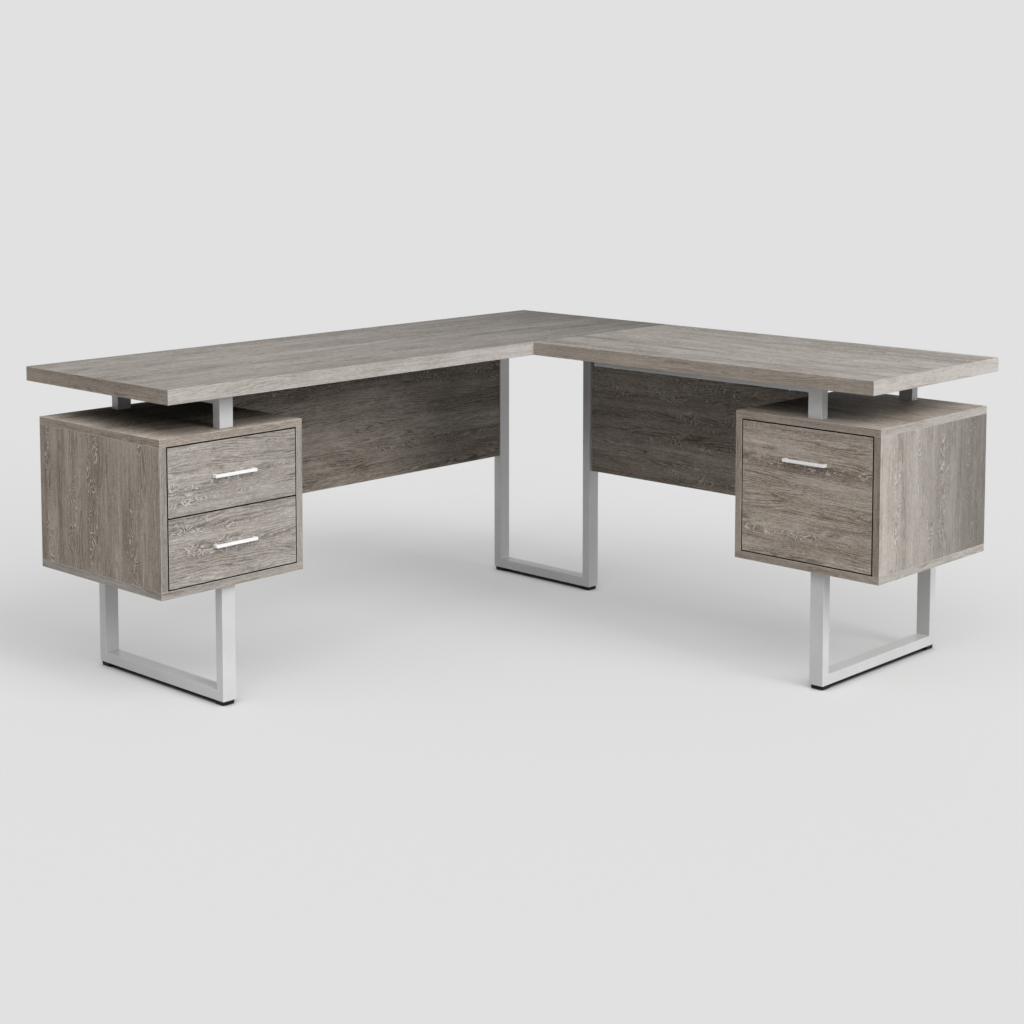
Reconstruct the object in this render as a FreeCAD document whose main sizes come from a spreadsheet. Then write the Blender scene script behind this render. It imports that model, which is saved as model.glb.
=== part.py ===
import FreeCAD, Part
import os

import Sketcher

# An L-shaped desk: two tops, two drawer cases held below them on short posts, three tube legs and
# two modesty panels. Millimetres, +Z up, +X along the return wing, +Y towards the return's rear edge.
# The origin is on the floor below the middle of the whole footprint. The main wing lies along the
# low-X side, and its case stands at the low-Y end.

SIZES = {
    # Tops
    "height": 756,
    "main_length": 1720,
    "overall_width": 1590,
    "wing_depth": 555,
    "top_thickness": 34,
    "board_edge": 0.8,
    # Drawer cases
    "case_width": 405,
    "case_depth": 470,
    "case_height": 358,
    "case_board": 18,
    "case_back": 12,
    "case_end_inset": 1,
    "case_front_inset": 35,
    "dowel_radius": 4,
    "dowel_in_side": 20,
    "dowel_in_board": 10,
    "dowel_inset": 60,
    # Drawers
    "reveal": 3,
    "front_thickness": 16,
    "box_length": 430,
    "box_side": 12,
    "box_back": 12,
    "box_bottom": 5,
    "box_lift": 12,
    "small_box_height": 115,
    "file_box_height": 230,
    "groove_rise": 10,
    "groove_depth": 6,
    "groove_play": 0.2,
    "hanger_metal": 2,
    "hanger_height": 12,
    # Runners
    "runner_room": 13,
    "runner_metal": 1.5,
    "runner_play": 0.3,
    "runner_lip": 10,
    "runner_inset": 4,
    "runner_length": 400,
    "runner_height": 42,
    "file_runner_length": 420,
    "file_runner_height": 45,
    # Handles
    "handle_length": 118,
    "handle_section": 7.5,
    "handle_thickness": 5,
    "handle_reach": 13,
    "handle_foot": 8,
    "handle_edge": 0.8,
    "handle_flute_width": 0.9,
    "handle_flute_depth": 0.6,
    "handle_flute_spacing": 2.5,
    "handle_end_radius": 1.5,
    "handle_end_depth": 2,
    "file_handle_drop": 80,
    # Legs and feet
    "tube_depth": 25,
    "tube_breadth": 38,
    "tube_wall": 1.5,
    "tube_edge": 1.2,
    "leg_depth": 486,
    "right_leg_extra": 13,
    "leg_bar": 6,
    "leg_setback": 20,
    "left_post_inset": 200,
    "right_post_inset": 193,
    "right_leg_inset": 180,
    "middle_leg_depth": 372,
    "middle_leg_rear_inset": 48,
    "middle_leg_corner_inset": 158,
    "foot_height": 10,
    "foot_length": 30,
    "foot_breadth": 34,
    "foot_inset": 4,
    "foot_taper": 6,
    "peg_radius": 4,
    "peg_length": 10,
    # Posts, crossbar and rails between the cases and the tops
    "spacer_height": 80,
    "spacer_span": 418,
    "post_plug": 10,
    "rail_length": 662,
    "rail_height": 19,
    # Modesty panels and their brackets
    "modesty_thickness": 16,
    "modesty_height": 379,
    "bracket_leg": 30,
    "bracket_metal": 2.5,
    "bracket_width": 25,
    "bracket_inset": 120,
    "bracket_screw_inset": 18,
    # Plates below the seam
    "seam_plate_length": 120,
    "seam_plate_width": 60,
    "seam_plate_thickness": 3,
    "seam_plate_first": 110,
    "seam_plate_second": 330,
    # Screws and bolts
    "screw_radius": 2,
    "screw_head_radius": 4,
    "screw_head_height": 2.5,
    "screw_bite": 13,
    "screw_inset": 60,
    "plate_screw_inset": 15,
    "bolt_radius": 3,
    "bolt_head_radius": 5.5,
    "bolt_head_height": 4,
    "bolt_grip": 8,
    "hole_play": 0.1,
}


class Formula:
    """A formula over the sheet's cells, put together with ordinary arithmetic."""

    def __init__(self, text):
        self.text = str(text)

    def __str__(self):
        return self.text

    def __add__(self, other):
        return Formula(f"({self} + {other})")

    def __radd__(self, other):
        return Formula(f"({other} + {self})")

    def __sub__(self, other):
        return Formula(f"({self} - {other})")

    def __rsub__(self, other):
        return Formula(f"({other} - {self})")

    def __mul__(self, other):
        return Formula(f"({self} * {other})")

    def __rmul__(self, other):
        return Formula(f"({other} * {self})")

    def __truediv__(self, other):
        return Formula(f"({self} / {other})")

    def __neg__(self):
        return Formula(f"(0 - {self})")


class Cells:
    """Gives each cell of the sheet as a formula, by its alias."""

    def __getattr__(self, alias):
        return Formula(f"size.{alias}")


doc = FreeCAD.newDocument("corner_desk")
sheet = doc.addObject("Spreadsheet::Sheet", "size")
for row, (alias, number) in enumerate(SIZES.items(), start=1):
    sheet.set(f"A{row}", alias.replace("_", " "))
    sheet.set(f"B{row}", str(number))
    sheet.setAlias(f"B{row}", alias)
doc.recompute()

s = Cells()
ZERO = Formula("0")
# How far a cutting tool stands out past the face that it cuts.
OVERCUT = 1

# Places worked out from the sizes.
REAR_X = -s.overall_width / 2
REAR_Y = s.main_length / 2
SEAM_X = REAR_X + s.wing_depth
INNER_Y = REAR_Y - s.wing_depth
UNDER = s.height - s.top_thickness
CASE_TOP = UNDER - s.spacer_height
CASE_BASE = CASE_TOP - s.case_height
LEFT_FRONT = SEAM_X - s.case_front_inset
LEFT_END = -REAR_Y + s.case_end_inset
RIGHT_FRONT = INNER_Y + s.case_front_inset
RIGHT_END = -REAR_X - s.case_end_inset
MIDDLE_REAR = REAR_X + s.middle_leg_rear_inset
MIDDLE_FRONT = MIDDLE_REAR + s.middle_leg_depth
MIDDLE_Y = REAR_Y - s.middle_leg_corner_inset

# Each group of pieces is drawn in a frame of its own: u to the right as seen from the front, v from
# the front to the back, w up. A frame is an origin and a turn about +Z in degrees.
FRAMES = {
    "desk": ((ZERO, ZERO, ZERO), 0),
    "left": ((LEFT_FRONT, LEFT_END, CASE_BASE), 90),
    "right": ((RIGHT_END - s.case_width, RIGHT_FRONT, CASE_BASE), 0),
    "middle": ((MIDDLE_FRONT, MIDDLE_Y, ZERO), 90),
}
# Where the posts above a case and the leg below it stand along its width.
POST_U = {
    "left": s.left_post_inset,
    "right": s.case_width - s.right_post_inset,
}
LEG_U = {
    "left": s.left_post_inset,
    "right": s.case_width - s.right_leg_inset,
}
LEG_DEPTH = {
    "left": s.leg_depth,
    "right": s.leg_depth + s.right_leg_extra,
}
UP = FreeCAD.Vector(0, 0, 1)
AXES = {
    "+u": FreeCAD.Vector(1, 0, 0),
    "-u": FreeCAD.Vector(-1, 0, 0),
    "+v": FreeCAD.Vector(0, 1, 0),
    "-v": FreeCAD.Vector(0, -1, 0),
    "+w": UP,
    "-w": FreeCAD.Vector(0, 0, -1),
}
finished = []


def value(formula):
    """A formula's number at the sizes in the sheet."""
    return float(sheet.evalExpression(str(formula)))


def in_desk(frame, u, v):
    """The desk's own x and y of a place in a group's frame."""
    (x, y, _), turn = FRAMES[frame]
    if turn:
        return x - v, y + u
    return x + u, y + v


def bind(item, spot):
    """Ties the base of an object's Placement to three formulas."""
    for axis, formula in zip("xyz", spot):
        item.setExpression(f"Placement.Base.{axis}", str(formula))


def finish(node, item, frame="desk"):
    """Names a finished sub-part and puts it where its frame stands."""
    origin, turn = FRAMES[frame]
    item.Label = node
    item.Placement = FreeCAD.Placement(FreeCAD.Vector(), FreeCAD.Rotation(UP, turn))
    bind(item, origin)
    finished.append(item)


def outline(body, name, role, loops, offset):
    """A sketch of closed polygons on one of the body's planes, every corner tied to the sheet."""
    sketch = body.newObject("Sketcher::SketchObject", name)
    plane = next(item for item in body.Origin.OriginFeatures if item.Role == role)
    sketch.AttachmentSupport = (plane, [""])
    sketch.MapMode = "FlatFace"
    sketch.setExpression("AttachmentOffset.Base.z", str(offset))
    for corners in loops:
        first = sketch.GeometryCount
        points = [FreeCAD.Vector(value(across), value(along), 0) for across, along in corners]
        count = len(points)
        for step in range(count):
            sketch.addGeometry(Part.LineSegment(points[step], points[(step + 1) % count]))
        for step in range(count):
            after = first + (step + 1) % count
            sketch.addConstraint(Sketcher.Constraint("Coincident", first + step, 2, after, 1))
        for step, corner in enumerate(corners):
            for kind, formula in zip(("DistanceX", "DistanceY"), corner):
                size = Sketcher.Constraint(kind, -1, 1, first + step, 1, value(formula))
                index = sketch.addConstraint(size)
                sketch.setExpression(f"Constraints[{index}]", str(formula))
    return sketch


def rectangle(low, high):
    """The corners of a rectangle between two opposite ones."""
    return [low, (high[0], low[1]), high, (low[0], high[1])]


def pad(body, name, sketch, length, symmetric=False):
    """Extrudes a sketch, to one side of its plane or to both alike."""
    feature = body.newObject("PartDesign::Pad", name)
    feature.Profile = sketch
    feature.SideType = "Symmetric" if symmetric else "One side"
    feature.setExpression("Length", str(length))
    return feature


def ease(body, name, base, radius):
    """Rounds every edge of a feature."""
    feature = body.newObject("PartDesign::Fillet", name)
    feature.Base = (base, [""])
    feature.UseAllEdges = True
    feature.setExpression("Radius", str(radius))
    return feature


def board(name, low, high):
    """A board with eased edges between two opposite corners."""
    body = doc.addObject("PartDesign::Body", name + "_body")
    sketch = outline(body, name + "_outline", "XY_Plane", [rectangle(low[:2], high[:2])], low[2])
    base = pad(body, name + "_pad", sketch, high[2] - low[2])
    ease(body, name + "_edges", base, s.board_edge)
    return body


def block(name, low, high):
    """A plain box between two opposite corners."""
    box = doc.addObject("Part::Box", name)
    for side, bottom, top in zip(("Length", "Width", "Height"), low, high):
        box.setExpression(side, str(top - bottom))
    bind(box, low)
    return box


def round_bar(name, radius, length, spot, axis):
    """A cylinder that starts at a spot and runs along an axis."""
    bar = doc.addObject("Part::Cylinder", name)
    bar.setExpression("Radius", str(radius))
    bar.setExpression("Height", str(length))
    bar.Placement = FreeCAD.Placement(FreeCAD.Vector(), FreeCAD.Rotation(UP, AXES[axis]))
    bind(bar, spot)
    return bar


def group(name, items):
    """Several solids as one object."""
    compound = doc.addObject("Part::Compound", name)
    compound.Links = items
    return compound


def cut(name, base, tools):
    """A piece with other shapes taken out of it, or the piece itself if there are none."""
    if not tools:
        return base
    result = doc.addObject("Part::Cut", name)
    result.Base = base
    result.Tool = group(name + "_tools", tools)
    return result


def fuse(name, base, tool):
    """Two shapes made one."""
    result = doc.addObject("Part::Fuse", name)
    result.Base = base
    result.Tool = tool
    return result


def screw(name, seat, axis, length, radius=s.screw_radius, head=(s.screw_head_radius, s.screw_head_height)):
    """A screw whose head sits at seat, with its shank running along the axis."""
    outward = ("-" if axis[0] == "+" else "+") + axis[1]
    shank = round_bar(name + "_shank", radius, length, seat, axis)
    cap = round_bar(name + "_head", head[0], head[1], seat, outward)
    return fuse(name, shank, cap)


def tube_frame(name, role, loops, hollow, offset, breadth):
    """A welded frame of square-cornered tube: a solid outline and the hollow inside its walls."""
    body = doc.addObject("PartDesign::Body", name + "_body")
    sketch = outline(body, name + "_outline", role, loops, offset)
    base = pad(body, name + "_pad", sketch, breadth, symmetric=True)
    ease(body, name + "_edges", base, s.tube_edge)
    inside = outline(body, name + "_hollow", role, hollow, offset)
    pocket = body.newObject("PartDesign::Pocket", name + "_pocket")
    pocket.Profile = inside
    pocket.SideType = "Symmetric"
    pocket.setExpression("Length", str(breadth - 2 * s.tube_wall))
    return body


def half(formula):
    """Half of a size."""
    return formula / 2


# Screw places, each used for the screw, for its clearance hole and for its hole in the board.


def leg_screw_stations(depth):
    """How far behind a leg's front face its two screws stand."""
    return [s.screw_inset, depth - s.screw_inset]


def crossbar_stations():
    """How far behind a case's front the crossbar's screws stand."""
    first = s.leg_setback + s.screw_inset
    last = s.leg_setback + s.spacer_span - s.screw_inset
    return [first, last]


def post_stations():
    """How far behind a case's front the middles of its two posts stand."""
    front = s.leg_setback + half(s.tube_depth)
    rear = s.leg_setback + s.spacer_span - half(s.tube_depth)
    return {"front": front, "rear": rear}


def rail_stations():
    """Where the screws of a rail stand along the right case's width."""
    end = POST_U["right"] - half(s.tube_breadth)
    return [end - s.screw_inset, end - half(s.rail_length), end - s.rail_length + s.screw_inset]


MAIN_PANEL_X = MIDDLE_REAR + half(s.tube_depth) - half(s.modesty_thickness)
MAIN_PANEL_LOW_Y = LEFT_END + s.case_width
MAIN_PANEL_HIGH_Y = MIDDLE_Y - half(s.tube_breadth)
RETURN_PANEL_Y = MIDDLE_Y + half(s.modesty_thickness)
RETURN_PANEL_LOW_X = MIDDLE_FRONT
RETURN_PANEL_HIGH_X = RIGHT_END - s.case_width
PANEL_LOW = UNDER - s.modesty_height


def stations_between(low, high):
    """Three places along a panel for its brackets, all below one top."""
    return [low + s.bracket_inset, (low + high) / 2, high - s.bracket_inset]


def seam_screw_places():
    """The x and y of each seam-plate screw, keyed by the top that it goes into."""
    places = {"main": [], "return": []}
    reach_x = half(s.seam_plate_length) - s.plate_screw_inset
    reach_y = half(s.seam_plate_width) - s.plate_screw_inset
    for middle in (INNER_Y + s.seam_plate_first, INNER_Y + s.seam_plate_second):
        for y in (middle - reach_y, middle + reach_y):
            places["main"].append((SEAM_X - reach_x, y))
            places["return"].append((SEAM_X + reach_x, y))
    return places


def drilled_top(node, low, high, places):
    """A top with a blind hole in its underside for every screw that holds something to it."""
    depth = s.screw_bite + s.hole_play
    holes = []
    for index, (x, y) in enumerate(places, start=1):
        spot = (x, y, low[2])
        holes.append(round_bar(f"{node}_hole_{index}", s.screw_radius + s.hole_play, depth, spot, "+w"))
    finish(node, cut(node, board(node, low, high), holes))


def make_tops():
    seam = seam_screw_places()
    middle = [in_desk("middle", ZERO, v) for v in leg_screw_stations(s.middle_leg_depth)]
    crossbar = [in_desk("left", POST_U["left"], v) for v in crossbar_stations()]
    rails = [in_desk("right", u, v) for v in post_stations().values() for u in rail_stations()]
    inset = s.bracket_screw_inset
    main_stations = stations_between(MAIN_PANEL_LOW_Y, MAIN_PANEL_HIGH_Y)
    return_stations = stations_between(SEAM_X, RETURN_PANEL_HIGH_X)
    main_brackets = [(MAIN_PANEL_X - inset, y) for y in main_stations]
    return_brackets = [(x, RETURN_PANEL_Y + inset) for x in return_stations]
    drilled_top(
        "main_top",
        (REAR_X, -REAR_Y, UNDER),
        (SEAM_X, REAR_Y, s.height),
        seam["main"] + middle + crossbar + main_brackets,
    )
    drilled_top(
        "return_top",
        (SEAM_X, INNER_Y, UNDER),
        (-REAR_X, REAR_Y, s.height),
        seam["return"] + rails + return_brackets,
    )


def make_seam_plates():
    plates = []
    places = seam_screw_places()
    spots = places["main"] + places["return"]
    along = half(s.seam_plate_length)
    wide = half(s.seam_plate_width)
    for index, middle in enumerate((INNER_Y + s.seam_plate_first, INNER_Y + s.seam_plate_second), start=1):
        low = (SEAM_X - along, middle - wide, UNDER - s.seam_plate_thickness)
        high = (SEAM_X + along, middle + wide, UNDER)
        plates.append(block(f"seam_plate_{index}", low, high))
    holes = []
    screws = []
    for index, (x, y) in enumerate(spots, start=1):
        seat = (x, y, UNDER - s.seam_plate_thickness)
        radius = s.screw_radius + s.hole_play
        holes.append(round_bar(f"seam_plate_hole_{index}", radius, s.seam_plate_thickness, seat, "+w"))
        screws.append(screw(f"seam_screw_{index}", seat, "+w", s.seam_plate_thickness + s.screw_bite))
    finish("seam_plates", cut("seam_plates", group("seam_plates_blank", plates), holes))
    finish("seam_screws", group("seam_screws", screws))


def dowel_places():
    """The u and v of each dowel below or above a case's sides."""
    across = (half(s.case_board), s.case_width - half(s.case_board))
    return [(u, v) for u in across for v in (s.dowel_inset, s.case_depth - s.dowel_inset)]


def make_case(case, outer):
    """The five boards of a case, with its dowels."""
    top_low = s.case_height - s.case_board
    fit = s.dowel_radius + s.hole_play
    in_board = s.dowel_in_board + s.hole_play
    in_side = s.dowel_in_side + s.hole_play
    dowels = []
    holes = {"bottom": [], "top": [], "low_u": [], "high_u": []}
    joints = (("bottom", s.case_board, "-w", "+w"), ("top", top_low, "+w", "-w"))
    for index, (u, v) in enumerate(dowel_places(), start=1):
        side = "low_u" if index <= 2 else "high_u"
        for end, level, to_board, to_side in joints:
            name = f"{case}_case_{end}_dowel_{index}"
            holes[end].append(round_bar(name + "_board_hole", fit, in_board, (u, v, level), to_board))
            holes[side].append(round_bar(name + "_side_hole", fit, in_side, (u, v, level), to_side))
            start = s.case_board - s.dowel_in_board if end == "bottom" else top_low - s.dowel_in_side
            length = s.dowel_in_board + s.dowel_in_side
            dowels.append(round_bar(name, s.dowel_radius, length, (u, v, start), "+w"))
    for index, v in enumerate(leg_screw_stations(LEG_DEPTH[case]), start=1):
        spot = (LEG_U[case], s.leg_setback + v, ZERO)
        name = f"{case}_case_leg_hole_{index}"
        depth = s.screw_bite + s.hole_play
        holes["bottom"].append(round_bar(name, s.screw_radius + s.hole_play, depth, spot, "+w"))
    for end, v in post_stations().items():
        spot = (POST_U[case], v, top_low)
        name = f"{case}_case_{end}_bolt_hole"
        holes["top"].append(round_bar(name, s.bolt_radius + s.hole_play, s.case_board, spot, "+w"))

    inner = "right" if outer == "left" else "left"
    side_of = {outer: "outer_side", inner: "inner_side"}
    boards = {
        "bottom": ((ZERO, ZERO, ZERO), (s.case_width, s.case_depth, s.case_board), "bottom"),
        "top": ((ZERO, ZERO, top_low), (s.case_width, s.case_depth, s.case_height), "top"),
        "low_u": ((ZERO, ZERO, s.case_board), (s.case_board, s.case_depth, top_low), side_of["left"]),
        "high_u": (
            (s.case_width - s.case_board, ZERO, s.case_board),
            (s.case_width, s.case_depth, top_low),
            side_of["right"],
        ),
    }
    for key, (low, high, word) in boards.items():
        node = f"{case}_case_{word}"
        finish(node, cut(node, board(node, low, high), holes[key]), case)
    node = f"{case}_case_back"
    low = (s.case_board, s.case_depth - s.case_back, s.case_board)
    high = (s.case_width - s.case_board, s.case_depth, top_low)
    finish(node, board(node, low, high), case)
    node = f"{case}_case_dowels"
    finish(node, group(node, dowels), case)


def make_handle(prefix, case, level):
    """A fluted bar on a foot at each end, as one extruded outline, and the two screws that hold it."""
    middle = half(s.case_width)
    face = -s.handle_reach
    bar_back = face + s.handle_thickness
    low, high = middle - half(s.handle_length), middle + half(s.handle_length)
    corners = [(low, face), (high, face), (high, ZERO), (high - s.handle_foot, ZERO)]
    corners += [(high - s.handle_foot, bar_back), (low + s.handle_foot, bar_back)]
    corners += [(low + s.handle_foot, ZERO), (low, ZERO)]
    node = f"{prefix}_handle"
    body = doc.addObject("PartDesign::Body", node + "_body")
    sketch = outline(body, node + "_outline", "XY_Plane", [corners], level - half(s.handle_section))
    base = pad(body, node + "_pad", sketch, s.handle_section)
    ease(body, node + "_edges", base, s.handle_edge)
    holes = handle_cuts(node, level, face, (low, high))
    screws = []
    grip = s.handle_reach - s.handle_thickness
    for index, u in enumerate(handle_screw_places(), start=1):
        reach = grip + s.hole_play
        radius = s.screw_radius + s.hole_play
        holes.append(round_bar(f"{node}_hole_{index}", radius, reach, (u, ZERO, level), "-v"))
        seat = (u, s.front_thickness, level)
        screws.append(screw(f"{node}_screw_{index}", seat, "-v", s.front_thickness + grip))
    finish(node, cut(node, body, holes), case)
    finish(f"{node}_screws", group(f"{node}_screws", screws), case)


def handle_cuts(node, level, face, ends):
    """The two flutes along a bar's face, and the small bore in each of its ends."""
    low, high = ends
    tools = []
    for word, middle in (
        ("lower", level - half(s.handle_flute_spacing)),
        ("upper", level + half(s.handle_flute_spacing)),
    ):
        corner = (low - OVERCUT, face - OVERCUT, middle - half(s.handle_flute_width))
        opposite = (high + OVERCUT, face + s.handle_flute_depth, middle + half(s.handle_flute_width))
        tools.append(block(f"{node}_{word}_flute", corner, opposite))
    bar_middle = face + half(s.handle_thickness)
    for word, u, axis in (("low", low, "+u"), ("high", high, "-u")):
        spot = (u, bar_middle, level)
        tools.append(round_bar(f"{node}_{word}_bore", s.handle_end_radius, s.handle_end_depth, spot, axis))
    return tools


def handle_screw_places():
    """The u of the two handle screws, one in the middle of each foot."""
    middle = half(s.case_width)
    reach = half(s.handle_length - s.handle_foot)
    return [middle - reach, middle + reach]


def make_drawer(prefix, case, low_w, high_w, box_height, handle_level):
    """An inset front with its handle, and the box behind it on a grooved-in bottom panel."""
    left = s.case_board + s.reveal
    right = s.case_width - s.case_board - s.reveal
    node = f"{prefix}_front"
    radius = s.screw_radius + s.hole_play
    holes = [
        round_bar(f"{node}_hole_{index}", radius, s.front_thickness, (u, ZERO, handle_level), "+v")
        for index, u in enumerate(handle_screw_places(), start=1)
    ]
    front = board(node, (left, ZERO, low_w), (right, s.front_thickness, high_w))
    finish(node, cut(node, front, holes), case)
    make_handle(prefix, case, handle_level)

    outside = s.case_board + s.runner_room
    inside = outside + s.box_side
    start = s.front_thickness
    stop = start + s.box_length
    base = low_w + s.box_lift
    rim = base + box_height
    panel_low = base + s.groove_rise
    panel_high = panel_low + s.box_bottom
    groove_high = panel_high + s.groove_play
    sides = {
        "left_side": (outside, inside, inside - s.groove_depth, inside),
        "right_side": (
            s.case_width - inside,
            s.case_width - outside,
            s.case_width - inside,
            s.case_width - inside + s.groove_depth,
        ),
    }
    for word, (low_u, high_u, groove_low_u, groove_high_u) in sides.items():
        node = f"{prefix}_{word}"
        groove_low = (groove_low_u, start, panel_low)
        groove = block(f"{node}_groove", groove_low, (groove_high_u, stop, groove_high))
        side = board(node, (low_u, start, base), (high_u, stop, rim))
        finish(node, cut(node, side, [groove]), case)
    node = f"{prefix}_back"
    low = (inside, stop - s.box_back, panel_high)
    finish(node, board(node, low, (s.case_width - inside, stop, rim)), case)
    node = f"{prefix}_bottom"
    edge = inside - s.groove_depth + s.groove_play
    finish(node, board(node, (edge, start, panel_low), (s.case_width - edge, stop, panel_high)), case)


def channel(name, outer, mouth, metal, start, stop, closed_at):
    """A C-section runner member. outer is its low and high u and w, mouth the u side that is open."""
    low_u, high_u, low_w, high_w = outer
    blank = block(name + "_blank", (low_u, start, low_w), (high_u, stop, high_w))
    if mouth == "high":
        inside = (low_u + metal, high_u + OVERCUT)
    else:
        inside = (low_u - OVERCUT, high_u - metal)
    low = (inside[0], start - OVERCUT, low_w + metal)
    high = (inside[1], closed_at, high_w - metal)
    return cut(name, blank, [block(name + "_inside", low, high)])


def mirrored(low_u, high_u):
    """The same stretch of u on the other side of the case."""
    return s.case_width - high_u, s.case_width - low_u


def make_runners(prefix, case, level, length, height, full_extension):
    """A pair of nested runners between the case's sides and the drawer's, clear of each other all round."""
    wall = s.case_board
    start = s.front_thickness + s.runner_inset
    stop = start + length
    metal = s.runner_metal
    play = s.runner_play
    lip = wall + s.runner_lip
    half_height = half(height)
    stroke_end = stop - metal - play
    members = {"fixed": (wall, lip, half_height, "high", stop, stop - metal)}
    nest_u = wall + metal + play
    nest_half = half_height - metal - play
    if full_extension:
        members["middle"] = (nest_u, lip, nest_half, "high", stroke_end, stroke_end + OVERCUT)
        nest_u = nest_u + metal + play
        nest_half = nest_half - metal - play
    members["moving"] = (nest_u, wall + s.runner_room, nest_half, "low", stroke_end, stroke_end + OVERCUT)
    for word, (low_u, high_u, reach, mouth, end, closed_at) in members.items():
        node = f"{prefix}_runner_{word}"
        left_outer = (low_u, high_u, level - reach, level + reach)
        right_outer = (*mirrored(low_u, high_u), level - reach, level + reach)
        other = "low" if mouth == "high" else "high"
        pair = [
            channel(f"{node}_left", left_outer, mouth, metal, start, end, closed_at),
            channel(f"{node}_right", right_outer, other, metal, start, end, closed_at),
        ]
        finish(node, group(node, pair), case)


def make_drawers():
    opening_low = s.case_board
    opening_high = s.case_height - s.case_board
    small_front = (opening_high - opening_low - 3 * s.reveal) / 2
    lower_low = opening_low + s.reveal
    upper_low = lower_low + small_front + s.reveal
    for prefix, low in (("upper", upper_low), ("lower", lower_low)):
        high = low + small_front
        make_drawer(prefix, "left", low, high, s.small_box_height, (low + high) / 2)
        level = low + s.box_lift + half(s.small_box_height)
        make_runners(prefix, "left", level, s.runner_length, s.runner_height, full_extension=False)
    high = opening_high - s.reveal
    make_drawer("file", "right", lower_low, high, s.file_box_height, high - s.file_handle_drop)
    level = lower_low + s.box_lift + half(s.file_box_height)
    make_runners("file", "right", level, s.file_runner_length, s.file_runner_height, full_extension=True)
    make_hanger_rails(lower_low + s.box_lift + s.file_box_height)


def make_hanger_rails(rim):
    """Angle rails on the file drawer's sides, for hanging files."""
    outside = s.case_board + s.runner_room
    inside = outside + s.box_side
    start = s.front_thickness
    stop = start + s.box_length
    rails = []
    for word, mouth in (("left", "low"), ("right", "high")):
        low_u, high_u = (outside, inside) if word == "left" else mirrored(outside, inside)
        blank = block(f"hanger_{word}_blank", (low_u, start, rim), (high_u, stop, rim + s.hanger_height))
        if mouth == "low":
            waste = (low_u - OVERCUT, high_u - s.hanger_metal)
        else:
            waste = (low_u + s.hanger_metal, high_u + OVERCUT)
        low = (waste[0], start - OVERCUT, rim + s.hanger_metal)
        high = (waste[1], stop + OVERCUT, rim + s.hanger_height + OVERCUT)
        rails.append(cut(f"hanger_{word}", blank, [block(f"hanger_{word}_waste", low, high)]))
    finish("file_hanger_rails", group("file_hanger_rails", rails), "right")


def make_leg(word, frame, u, front, depth, low_w, high_w):
    """A U of tube closed by a flat bar at the top, with its two feet. Its front face stands at v = front."""
    node = f"{word}_leg"
    tube = s.tube_depth
    wall = s.tube_wall
    back = front + depth
    loops = [
        rectangle((front, low_w), (back, high_w)),
        rectangle((front + tube, low_w + tube), (back - tube, high_w - s.leg_bar)),
    ]
    inset = tube - wall
    bar = high_w - s.leg_bar
    hollow = [(front + wall, low_w + wall), (back - wall, low_w + wall)]
    hollow += [(back - wall, bar), (back - inset, bar)]
    hollow += [(back - inset, low_w + inset), (front + inset, low_w + inset)]
    hollow += [(front + inset, bar), (front + wall, bar)]
    body = tube_frame(node, "YZ_Plane", loops, [hollow], u, s.tube_breadth)
    holes = []
    for index, v in enumerate(leg_screw_stations(depth), start=1):
        spot = (u, front + v, bar)
        radius = s.screw_radius + s.hole_play
        holes.append(round_bar(f"{node}_screw_hole_{index}", radius, s.leg_bar, spot, "+w"))
    feet = []
    middles = (front + s.foot_inset + half(s.foot_length), back - s.foot_inset - half(s.foot_length))
    for index, v in enumerate(middles, start=1):
        spot = (u, v, low_w)
        holes.append(round_bar(f"{node}_peg_hole_{index}", s.peg_radius + s.hole_play, wall, spot, "+w"))
        feet.append(make_foot(f"{node}_foot_{index}", spot))
    finish(node, cut(node, body, holes), frame)
    finish(f"{node}_feet", group(f"{node}_feet", feet), frame)


def make_foot(name, spot):
    """A glide that narrows towards the floor, with a peg up into the tube."""
    body = doc.addObject("PartDesign::Body", name + "_glide")
    low = (-half(s.foot_breadth), -half(s.foot_length))
    high = (half(s.foot_breadth), half(s.foot_length))
    sketch = outline(body, name + "_outline", "XY_Plane", [rectangle(low, high)], ZERO)
    glide = pad(body, name + "_pad", sketch, s.foot_height)
    glide.Reversed = True
    glide.setExpression("TaperAngle", str(-s.foot_taper))
    ease(body, name + "_edges", glide, s.board_edge)
    bind(body, spot)
    return fuse(name, body, round_bar(name + "_peg", s.peg_radius, s.peg_length, spot, "+w"))


def make_legs():
    for case in ("left", "right"):
        low = s.foot_height - CASE_BASE
        make_leg(case, case, LEG_U[case], s.leg_setback, LEG_DEPTH[case], low, ZERO)
    make_leg("middle", "middle", ZERO, ZERO, s.middle_leg_depth, s.foot_height, UNDER)


def make_left_spacer():
    """Two posts and the crossbar that joins them below the main top."""
    front = s.leg_setback
    back = front + s.spacer_span
    low = s.case_height
    high = low + s.spacer_height
    tube = s.tube_depth
    wall = s.tube_wall
    plug = low + s.post_plug
    bar = high - tube
    loop = [(front, low), (front + tube, low), (front + tube, bar), (back - tube, bar)]
    loop += [(back - tube, low), (back, low), (back, high), (front, high)]
    inset = tube - wall
    inside = [(front + wall, plug), (front + inset, plug), (front + inset, bar + wall)]
    inside += [(back - inset, bar + wall), (back - inset, plug), (back - wall, plug)]
    inside += [(back - wall, high - wall), (front + wall, high - wall)]
    u = POST_U["left"]
    body = tube_frame("left_spacer", "YZ_Plane", [loop], [inside], u, s.tube_breadth)
    holes = []
    for index, v in enumerate(crossbar_stations(), start=1):
        radius = s.screw_radius + s.hole_play
        holes.append(round_bar(f"left_spacer_screw_hole_{index}", radius, tube, (u, v, bar), "+w"))
    holes += post_holes("left_spacer", u, post_stations().values())
    finish("left_spacer", cut("left_spacer", body, holes), "left")


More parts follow.
